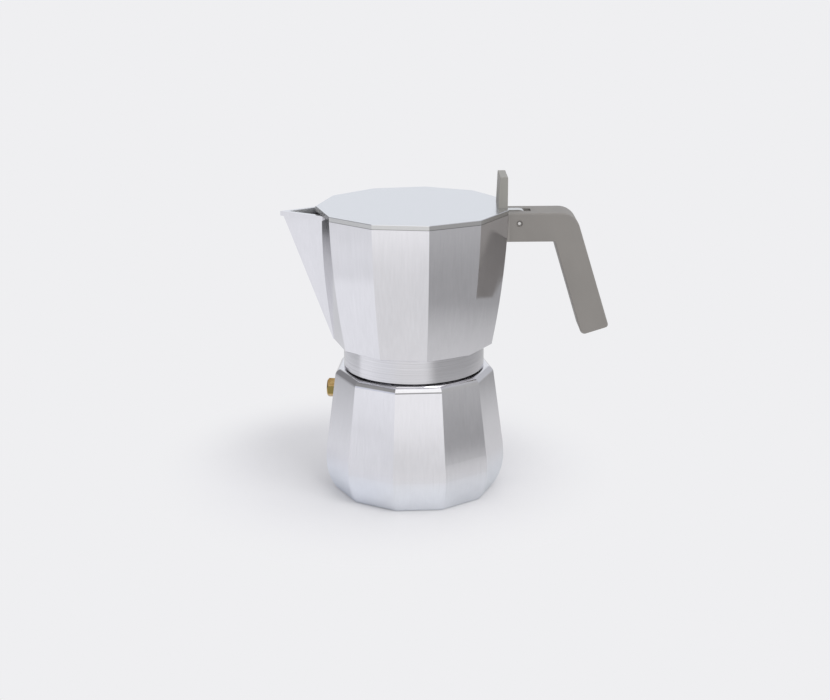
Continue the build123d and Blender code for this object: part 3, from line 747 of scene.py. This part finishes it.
# ------------------------------------------------------------------ geometry trees
def perforated_disc_tree():
    """Disc with rings of punched holes: six in the first ring and six more in each next one."""
    tree, given = geometry_tree(
        "perforated disc",
        [
            ("Radius", "NodeSocketFloat"),
            ("Bottom", "NodeSocketFloat"),
            ("Thickness", "NodeSocketFloat"),
            ("Hole Radius", "NodeSocketFloat"),
            ("Ring Step", "NodeSocketFloat"),
            ("Rings", "NodeSocketInt"),
        ],
    )
    disc = add_node(
        tree,
        "GeometryNodeMeshCylinder",
        values={"Vertices": 128},
        links={"Radius": given["Radius"], "Depth": given["Thickness"]},
    )
    drill = add_node(
        tree,
        "GeometryNodeMeshCylinder",
        values={"Vertices": 20},
        links={
            "Radius": given["Hole Radius"],
            "Depth": calculate(tree, "MULTIPLY", given["Thickness"], 3.0),
        },
    )
    # up to and with ring k there are 3k(k+1) holes, so a hole's number gives its ring
    rings = given["Rings"]
    count = calculate(
        tree, "MULTIPLY", calculate(tree, "MULTIPLY", rings, calculate(tree, "ADD", rings, 1)), 3
    )
    number = add_node(tree, "GeometryNodeInputIndex").outputs[0]
    under_root = calculate(tree, "MULTIPLY_ADD", number, 4 / 3, 1 + 4 / 3)
    halved = calculate(
        tree, "MULTIPLY", calculate(tree, "SUBTRACT", calculate(tree, "SQRT", under_root), 1), 0.5
    )
    ring = calculate(tree, "CEIL", calculate(tree, "SUBTRACT", halved, 0.0001))
    before = calculate(
        tree, "MULTIPLY", calculate(tree, "MULTIPLY", ring, calculate(tree, "SUBTRACT", ring, 1)), 3
    )
    share = calculate(
        tree,
        "DIVIDE",
        calculate(tree, "SUBTRACT", number, before),
        calculate(tree, "MULTIPLY", ring, 6),
    )
    angle = calculate(tree, "MULTIPLY", share, math.tau)
    out = calculate(tree, "MULTIPLY", ring, given["Ring Step"])
    spot = add_node(
        tree,
        "ShaderNodeCombineXYZ",
        links={
            "X": calculate(tree, "MULTIPLY", out, calculate(tree, "COSINE", angle)),
            "Y": calculate(tree, "MULTIPLY", out, calculate(tree, "SINE", angle)),
        },
    )
    spots = add_node(
        tree, "GeometryNodePoints", links={"Count": count, "Position": spot.outputs[0]}
    )
    drills = add_node(
        tree,
        "GeometryNodeInstanceOnPoints",
        links={"Points": spots.outputs[0], "Instance": drill.outputs["Mesh"]},
    )
    real_drills = add_node(
        tree, "GeometryNodeRealizeInstances", links={"Geometry": drills.outputs[0]}
    )
    punched = add_node(
        tree, "GeometryNodeMeshBoolean", settings={"operation": "DIFFERENCE", "solver": "EXACT"}
    )
    tree.links.new(disc.outputs["Mesh"], punched.inputs["Mesh 1"])
    tree.links.new(real_drills.outputs[0], punched.inputs["Mesh 2"])
    lift = add_node(
        tree,
        "ShaderNodeCombineXYZ",
        links={"Z": calculate(tree, "MULTIPLY_ADD", given["Thickness"], 0.5, given["Bottom"])},
    )
    raised = add_node(
        tree,
        "GeometryNodeTransform",
        links={"Geometry": punched.outputs["Mesh"], "Translation": lift.outputs[0]},
    )
    return close_tree(tree, raised.outputs[0], given)


def coil_spring_tree():
    """Round wire wound into an open coil along any line."""
    tree, given = geometry_tree(
        "coil spring",
        [
            ("Start", "NodeSocketVector"),
            ("Turn", "NodeSocketRotation"),
            ("Length", "NodeSocketFloat"),
            ("Coil Radius", "NodeSocketFloat"),
            ("Wire Radius", "NodeSocketFloat"),
            ("Turns", "NodeSocketFloat"),
        ],
    )
    coil = add_node(
        tree,
        "GeometryNodeCurveSpiral",
        values={"Resolution": 32},
        links={
            "Rotations": given["Turns"],
            "Start Radius": given["Coil Radius"],
            "End Radius": given["Coil Radius"],
            "Height": given["Length"],
        },
    )
    section = add_node(
        tree,
        "GeometryNodeCurvePrimitiveCircle",
        values={"Resolution": 12},
        links={"Radius": given["Wire Radius"]},
    )
    wire = add_node(
        tree,
        "GeometryNodeCurveToMesh",
        values={"Fill Caps": True},
        links={"Curve": coil.outputs[0], "Profile Curve": section.outputs[0]},
    )
    placed = add_node(
        tree,
        "GeometryNodeTransform",
        links={
            "Geometry": wire.outputs[0],
            "Translation": given["Start"],
            "Rotation": given["Turn"],
        },
    )
    return close_tree(tree, placed.outputs[0], given, smooth=True)


def socket_screws_tree():
    """Row of screws that point up, each with a shank, a head and a hexagon socket below."""
    tree, given = geometry_tree(
        "socket screws",
        [
            ("Count", "NodeSocketInt"),
            ("First", "NodeSocketVector"),
            ("Step", "NodeSocketVector"),
            ("Shank Radius", "NodeSocketFloat"),
            ("Length", "NodeSocketFloat"),
            ("Head Radius", "NodeSocketFloat"),
            ("Neck Radius", "NodeSocketFloat"),
            ("Head Height", "NodeSocketFloat"),
            ("Socket Radius", "NodeSocketFloat"),
        ],
    )
    head = add_node(
        tree,
        "GeometryNodeMeshCone",
        values={"Vertices": 48},
        links={
            "Radius Bottom": given["Head Radius"],
            "Radius Top": given["Neck Radius"],
            "Depth": given["Head Height"],
        },
    )
    shank_base = calculate(tree, "MULTIPLY", given["Head Height"], 0.6)
    shank = add_node(
        tree,
        "GeometryNodeMeshCone",
        values={"Vertices": 32},
        links={
            "Radius Bottom": given["Shank Radius"],
            "Radius Top": given["Shank Radius"],
            "Depth": calculate(tree, "SUBTRACT", given["Length"], shank_base),
        },
    )
    shank_lift = add_node(tree, "ShaderNodeCombineXYZ", links={"Z": shank_base})
    shank_up = add_node(
        tree,
        "GeometryNodeTransform",
        links={"Geometry": shank.outputs["Mesh"], "Translation": shank_lift.outputs[0]},
    )
    socket_depth = calculate(tree, "MULTIPLY", given["Head Height"], 0.55)
    hexagon = add_node(
        tree,
        "GeometryNodeMeshCylinder",
        values={"Vertices": 6},
        links={
            "Radius": given["Socket Radius"],
            "Depth": calculate(tree, "MULTIPLY", socket_depth, 2.0),
        },
    )
    joined = add_node(
        tree, "GeometryNodeMeshBoolean", settings={"operation": "UNION", "solver": "EXACT"}
    )
    tree.links.new(head.outputs["Mesh"], joined.inputs["Mesh 2"])
    tree.links.new(shank_up.outputs[0], joined.inputs["Mesh 2"])
    screw = add_node(
        tree, "GeometryNodeMeshBoolean", settings={"operation": "DIFFERENCE", "solver": "EXACT"}
    )
    tree.links.new(joined.outputs["Mesh"], screw.inputs["Mesh 1"])
    tree.links.new(hexagon.outputs["Mesh"], screw.inputs["Mesh 2"])
    row = add_node(
        tree,
        "GeometryNodeMeshLine",
        links={"Count": given["Count"], "Start Location": given["First"], "Offset": given["Step"]},
    )
    screws = add_node(
        tree,
        "GeometryNodeInstanceOnPoints",
        links={"Points": row.outputs[0], "Instance": screw.outputs["Mesh"]},
    )
    return close_tree(tree, screws.outputs[0], given)


# ------------------------------------------------------------------ operators
class MOKA_OT_vessels(bpy.types.Operator):
    """Finish the boiler and the collector as ground cast aluminium"""

    bl_idname = "moka.vessels"
    bl_label = "Cast vessels"

    def execute(self, context):
        metals = context.scene.moka_metals
        boiler_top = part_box("boiler")[1].z
        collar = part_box("collector")[0].z
        neck = (SHOULDER_TOP, boiler_top + MM)
        collar_zone = (collar - MM, COLLAR_TOP)
        for name, zone, hollow in (
            ("boiler", neck, boiler_hollow),
            ("collector", collar_zone, collector_hollow),
        ):
            dress(name, cast_aluminium(f"ground cast aluminium, {name}", metals, zone, hollow))
        return {"FINISHED"}


class MOKA_OT_lid(bpy.types.Operator):
    """Finish the lid as satin aluminium plate"""

    bl_idname = "moka.lid"
    bl_label = "Lid"

    def execute(self, context):
        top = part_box("lid")[1].z
        dress("lid", satin_lid_aluminium(context.scene.moka_metals, top))
        return {"FINISHED"}


class MOKA_OT_handle(bpy.types.Operator):
    """Finish the handle and the thumb lever as moulded thermoplastic"""

    bl_idname = "moka.handle"
    bl_label = "Handle and lever"

    def execute(self, context):
        plastics = context.scene.moka_plastics
        handle_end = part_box("handle")[0].x
        grey = moulded_thermoplastic(
            "moulded thermoplastic, handle",
            plastics.handle_colour,
            handle_end,
            plastics.handle_end_highlight_colour,
        )
        pale = moulded_thermoplastic(
            "moulded thermoplastic, lever", plastics.lever_colour, 0.0, plastics.lever_colour
        )
        dress("handle", grey)
        dress("thumb_lever", pale)
        return {"FINISHED"}


class MOKA_OT_valve(bpy.types.Operator):
    """Finish the brass safety valve and wind its spring"""

    bl_idname = "moka.valve"
    bl_label = "Safety valve"

    def execute(self, context):
        scene = context.scene
        parts = scene.moka_parts
        slide = next(j for j in frame["joints"] if j["name"] == "valve_plunger_slide")
        outwards = Vector(slide["axis"]).normalized()
        low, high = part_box("safety_valve_body")
        vertices = frame["nodes"]["safety_valve_body"].data.vertices
        end = max(vertex.co.dot(outwards) for vertex in vertices)
        brass = machined_brass(scene.moka_metals, (low.z + high.z) / 2, outwards, end)
        for name in ("safety_valve_body", "safety_valve_plunger", "safety_valve_retainer"):
            dress(name, brass)
        dress("safety_valve_washer", vulcanised_fibre(scene.moka_plastics))
        low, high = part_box("safety_valve_spring")
        middle = (low + high) / 2
        # the box of a coil that lies nearly along x is its length plus a wire's share of its width
        slant = 2 * (parts.spring_coil_radius + parts.spring_wire / 2) * abs(outwards.y)
        length = (high.x - low.x - slant) / abs(outwards.x) - parts.spring_wire
        start = middle - outwards * length / 2
        spring = settle(
            "valve_spring_coil",
            coil_spring_tree(),
            {
                "Start": start,
                "Turn": outwards.to_track_quat("Z", "Y").to_euler(),
                "Length": length,
                "Coil Radius": parts.spring_coil_radius,
                "Wire Radius": parts.spring_wire / 2,
                "Turns": parts.spring_turns,
            },
            drawn_steel(scene.moka_metals),
            "boiler",
            "safety_valve_spring",
        )
        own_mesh(spring)
        return {"FINISHED"}


class MOKA_OT_plates(bpy.types.Operator):
    """Punch the filter plate and the funnel's strainer"""

    bl_idname = "moka.plates"
    bl_label = "Perforated plates"

    def execute(self, context):
        scene = context.scene
        plates = scene.moka_plates
        tree = perforated_disc_tree()
        metal = spun_aluminium(scene.moka_metals)
        for name, node, body, rings in (
            ("punched_filter_plate", "filter_plate", "seal", plates.filter_rings),
            ("punched_strainer", "funnel_strainer", "boiler", plates.strainer_rings),
        ):
            low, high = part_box(node)
            plate = settle(
                name,
                tree,
                {
                    "Radius": high.y,
                    "Bottom": low.z,
                    "Thickness": high.z - low.z,
                    "Hole Radius": plates.hole_radius,
                    "Ring Step": plates.ring_step,
                    "Rings": rings,
                },
                metal,
                body,
                node,
            )
        return {"FINISHED"}


class MOKA_OT_funnel(bpy.types.Operator):
    """Finish the funnel and the column's cap as spun aluminium"""

    bl_idname = "moka.funnel"
    bl_label = "Funnel and cap"

    def execute(self, context):
        metal = spun_aluminium(context.scene.moka_metals)
        for name in ("funnel_basket", "funnel_stem", "column_cap"):
            dress(name, metal)
        return {"FINISHED"}


class MOKA_OT_gasket(bpy.types.Operator):
    """Finish the sealing ring as silicone rubber"""

    bl_idname = "moka.gasket"
    bl_label = "Gasket"

    def execute(self, context):
        dress("gasket", silicone_rubber(context.scene.moka_plastics))
        return {"FINISHED"}


class MOKA_OT_fixings(bpy.types.Operator):
    """Make the screws and finish the hinge pin in stainless steel"""

    bl_idname = "moka.fixings"
    bl_label = "Screws and pin"

    def execute(self, context):
        scene = context.scene
        steel = drawn_steel(scene.moka_metals)
        dress("hinge_pin", steel)
        tree = socket_screws_tree()
        shank, head_height, socket = LEVER_SCREW
        low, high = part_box("lever_screws")
        spacing = scene.moka_parts.lever_screw_spacing
        head = (high.x - low.x) / 2
        lever_pair = settle(
            "lever_socket_screws",
            tree,
            {
                "Count": 2,
                "First": Vector(((low.x + high.x) / 2, -spacing / 2, low.z)),
                "Step": Vector((0, spacing, 0)),
                "Shank Radius": shank,
                "Length": high.z - low.z,
                "Head Radius": head,
                "Neck Radius": shank,
                "Head Height": head_height,
                "Socket Radius": socket,
            },
            steel,
            "lid",
            "lever_screws",
        )
        shank, head_height, socket = HANDLE_SCREW
        low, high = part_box("handle_screw")
        head = (high.x - low.x) / 2
        handle_screw = settle(
            "handle_socket_screw",
            tree,
            {
                "Count": 1,
                "First": Vector(((low.x + high.x) / 2, 0, low.z)),
                "Step": Vector((0, 0, 0)),
                "Shank Radius": shank,
                "Length": high.z - low.z,
                "Head Radius": head,
                "Neck Radius": head,
                "Head Height": head_height,
                "Socket Radius": socket,
            },
            steel,
            "collector",
            "handle_screw",
        )
        return {"FINISHED"}


class MOKA_OT_stage(bpy.types.Operator):
    """Lay the floor, hang the light and set the camera"""

    bl_idname = "moka.stage"
    bl_label = "Studio"

    def execute(self, context):
        studio = context.scene.moka_studio
        lay_floor(studio)
        light_room(context.scene, studio)
        key = bpy.data.lights.new("key lamp", "SUN")
        key.energy = studio.key_strength
        key.angle = studio.key_size
        lamp = bpy.data.objects.new("key lamp", key)
        shines_to = Vector((-0.42, 0.44, -0.79))
        lamp.rotation_euler = shines_to.to_track_quat("-Z", "Y").to_euler()
        context.scene.collection.objects.link(lamp)
        lens = bpy.data.cameras.new("camera")
        lens.lens = studio.lens
        lens.sensor_width = 36.0
        lens.clip_start = 0.05
        lens.clip_end = 100.0
        camera = bpy.data.objects.new("camera", lens)
        camera.location = studio.camera_place
        camera.rotation_euler = studio.camera_turn
        context.scene.collection.objects.link(camera)
        context.scene.camera = camera
        context.scene.view_settings.view_transform = "Standard"
        return {"FINISHED"}


def lay_floor(studio):
    """Matt white paper floor; what mirrors in the metal is darker to the right and far off."""
    size = 20.0
    mesh = bpy.data.meshes.new("floor")
    corners = [(-size, -size, 0), (size, -size, 0), (size, size, 0), (-size, size, 0)]
    mesh.from_pydata(corners, [], [(0, 1, 2, 3)])
    floor = bpy.data.objects.new("floor", mesh)
    bpy.context.scene.collection.objects.link(floor)
    material = bpy.data.materials.new("matt white paper")
    material.use_nodes = True
    tree = material.node_tree
    tree.nodes.clear()
    place = add_node(tree, "ShaderNodeTexCoord").outputs["Object"]
    length = {"operation": "LENGTH"}
    away = add_node(tree, "ShaderNodeVectorMath", length, links={0: place}).outputs["Value"]
    x, y, _ = split_axes(tree, place)
    out = calculate(tree, "MAXIMUM", away, MM)
    across, back = calculate(tree, "DIVIDE", x, out), calculate(tree, "DIVIDE", y, out)
    to_right = fade(tree, across, 0.25, 0.6)
    to_front = fade(tree, back, -0.1, -0.8)
    to_back = fade(tree, back, 0.0, 0.12)
    # tones by distance in metres, for each side
    sides = {
        "front": [(0.1, 0.86), (0.28, 0.83), (0.4, 0.86), (0.48, 0.93), (0.6, 1.02), (0.8, 1.06)],
        "left": [(0.1, 0.89), (0.2, 0.95), (0.36, 0.97), (0.39, 0.84), (0.48, 0.9), (0.62, 0.84)],
        "back": [(0.08, 0.92), (0.2, 0.8), (0.3, 0.68), (0.36, 0.55), (0.4, 0.4), (0.43, 0.06)],
        "far back": [(0.08, 0.92), (0.2, 0.8), (0.3, 0.7), (0.4, 0.72), (0.6, 0.8)],
        "right": [(0.08, 0.76), (0.18, 0.67), (0.225, 0.58), (0.29, 0.4), (0.38, 0.4), (0.6, 0.5)],
    }
    behind = calculate(tree, "MAXIMUM", y, 0.0)
    nearer = calculate(tree, "SUBTRACT", away, calculate(tree, "MULTIPLY", behind, 0.25))
    tones = {}
    for side, stops in sides.items():
        ramp = add_node(tree, "ShaderNodeValToRGB", links={0: nearer if side == "right" else away})
        set_ramp(ramp, stops)
        tones[side] = ramp.outputs[0]
    tone = blend_colours(tree, to_front, tones["left"], tones["front"])
    straight = fade(tree, back, 0.3, 0.7)
    far_side = blend_colours(tree, straight, tones["back"], tones["far back"])
    tone = blend_colours(tree, to_back, tone, far_side)
    tone = blend_colours(tree, to_right, tone, tones["right"])
    to_left = fade(tree, across, -0.3, -0.7)
    tint = blend_colours(tree, to_left, (1.0, 1.0, 1.0), (0.995, 1.005, 1.03))
    # light thrown back by the metal lifts and cools the paper round the foot
    near = remap(tree, away, (0.055, 0.13), (1.0, 0.0), smooth=True)
    cool = blend_colours(tree, near, (1.0, 1.0, 1.0), (1.11, 1.15, 1.17))
    mirrored = add_node(tree, "ShaderNodeLightPath").outputs["Is Glossy Ray"]
    lifted = multiply_colours(tree, multiply_colours(tree, tone, tint), cool)
    seen = blend_colours(tree, mirrored, (1.0, 1.0, 1.0), lifted)
    paper = filtered(tree, studio.floor_colour, seen)
    lit = add_node(tree, "ShaderNodeBsdfDiffuse", links={"Color": paper})
    # past the shadow the paper is washed out to one even tone
    even = filtered(tree, studio.backdrop_colour, seen)
    washed = add_node(tree, "ShaderNodeEmission", links={"Color": even})
    from_shadow = add_node(
        tree,
        "ShaderNodeVectorMath",
        settings={"operation": "DISTANCE"},
        values={1: (-0.02, 0.03, 0.0)},
        links={0: place},
    )
    wash = fade(tree, from_shadow.outputs["Value"], 0.07, 0.155)
    surface = add_node(
        tree, "ShaderNodeMixShader", links={0: wash, 1: lit.outputs[0], 2: washed.outputs[0]}
    )
    add_node(tree, "ShaderNodeOutputMaterial", links={"Surface": surface.outputs[0]})
    mesh.materials.append(material)


def light_room(scene, studio):
    """Even fill light, and for the metal to mirror a room: pale walls, dark far corners."""
    world = bpy.data.worlds.new("studio")
    scene.world = world
    world.use_nodes = True
    tree = world.node_tree
    tree.nodes.clear()
    direction = add_node(tree, "ShaderNodeTexCoord").outputs["Generated"]
    x, y, z = split_axes(tree, direction)
    pale_blue = linear("#E8EBF0")
    front = add_node(tree, "ShaderNodeValToRGB", links={0: z})
    set_ramp(front, [(0.0, 0.32), (0.2, 0.32), (0.3, 0.85), (0.4, 1.05), (1.0, 1.05)])
    back = add_node(tree, "ShaderNodeValToRGB", links={0: z})
    dark = [(0.55, 0.5), (0.65, 0.1), (0.85, 0.12), (0.97, 0.6)]
    set_ramp(back, [(0.0, pale_blue), (0.42, pale_blue), *dark])
    behind = fade(tree, y, -0.3, 0.3)
    wall = blend_colours(tree, behind, front.outputs[0], back.outputs[0])
    to_right = fade(tree, x, -0.2, 0.2)
    high = fade(tree, z, 0.2, 0.35)
    left = blend_colours(tree, high, (0.64, 0.66, 0.74), (0.3, 0.3, 0.3))
    near_side = blend_colours(tree, to_right, left, (0.44, 0.44, 0.44))
    far_side = blend_colours(tree, to_right, (0.24, 0.24, 0.25), (0.52, 0.53, 0.56))
    side = blend_colours(tree, behind, near_side, far_side)
    edge = blend_values(tree, behind, 0.6, 0.36)
    off_centre = calculate(tree, "DIVIDE", calculate(tree, "ABSOLUTE", x), edge)
    aside = fade(tree, off_centre, 0.5, 1.0)
    room = blend_colours(tree, aside, wall, side)
    path = add_node(tree, "ShaderNodeLightPath").outputs
    # the fill comes mostly from above, so that the shadow keeps close to the foot
    height = remap(tree, z, (0.0, 1.0), (0.6, 1.2))
    cool_white = (0.985, 0.985, 1.015)
    fill = filtered(tree, [studio.sky_strength * c for c in cool_white], height)
    light = blend_colours(tree, path["Is Glossy Ray"], fill, room)
    light = blend_colours(tree, path["Is Camera Ray"], light, tuple(studio.backdrop_colour))
    background = add_node(tree, "ShaderNodeBackground", links={"Color": light})
    add_node(tree, "ShaderNodeOutputWorld", links={"Surface": background.outputs[0]})


class MOKA_PT_sidebar(bpy.types.Panel):
    """Sidebar panel with the pot's settings and steps"""

    bl_idname = "MOKA_PT_sidebar"
    bl_label = "Moka pot"
    bl_space_type = "VIEW_3D"
    bl_region_type = "UI"
    bl_category = "Moka pot"

    def draw(self, context):
        for group_name, _ in GROUPS:
            group = getattr(context.scene, group_name)
            box = self.layout.box()
            for setting in group.__annotations__:
                box.prop(group, setting)
        for operator in OPERATORS:
            self.layout.operator(operator.bl_idname)


GROUPS = (
    ("moka_metals", MokaMetals),
    ("moka_plastics", MokaPlastics),
    ("moka_plates", MokaPlates),
    ("moka_parts", MokaSmallParts),
    ("moka_studio", MokaStudio),
)
OPERATORS = (
    MOKA_OT_vessels,
    MOKA_OT_lid,
    MOKA_OT_handle,
    MOKA_OT_valve,
    MOKA_OT_plates,
    MOKA_OT_funnel,
    MOKA_OT_gasket,
    MOKA_OT_fixings,
    MOKA_OT_stage,
)


def register():
    """Adds the settings to the scene, and the operators and the panel."""
    for name, group in GROUPS:
        bpy.utils.register_class(group)
        setattr(bpy.types.Scene, name, PointerProperty(type=group))
    for cls in (*OPERATORS, MOKA_PT_sidebar):
        bpy.utils.register_class(cls)


def unregister():
    """Takes them out again, last first."""
    for cls in reversed((*OPERATORS, MOKA_PT_sidebar)):
        bpy.utils.unregister_class(cls)
    for name, group in reversed(GROUPS):
        delattr(bpy.types.Scene, name)
        bpy.utils.unregister_class(group)


def main():
    """Registers everything and runs every step in order."""
    register()
    for operator in OPERATORS:
        step = operator.bl_idname.split(".")[1]
        getattr(bpy.ops.moka, step)()


if __name__ == "__main__":
    main()
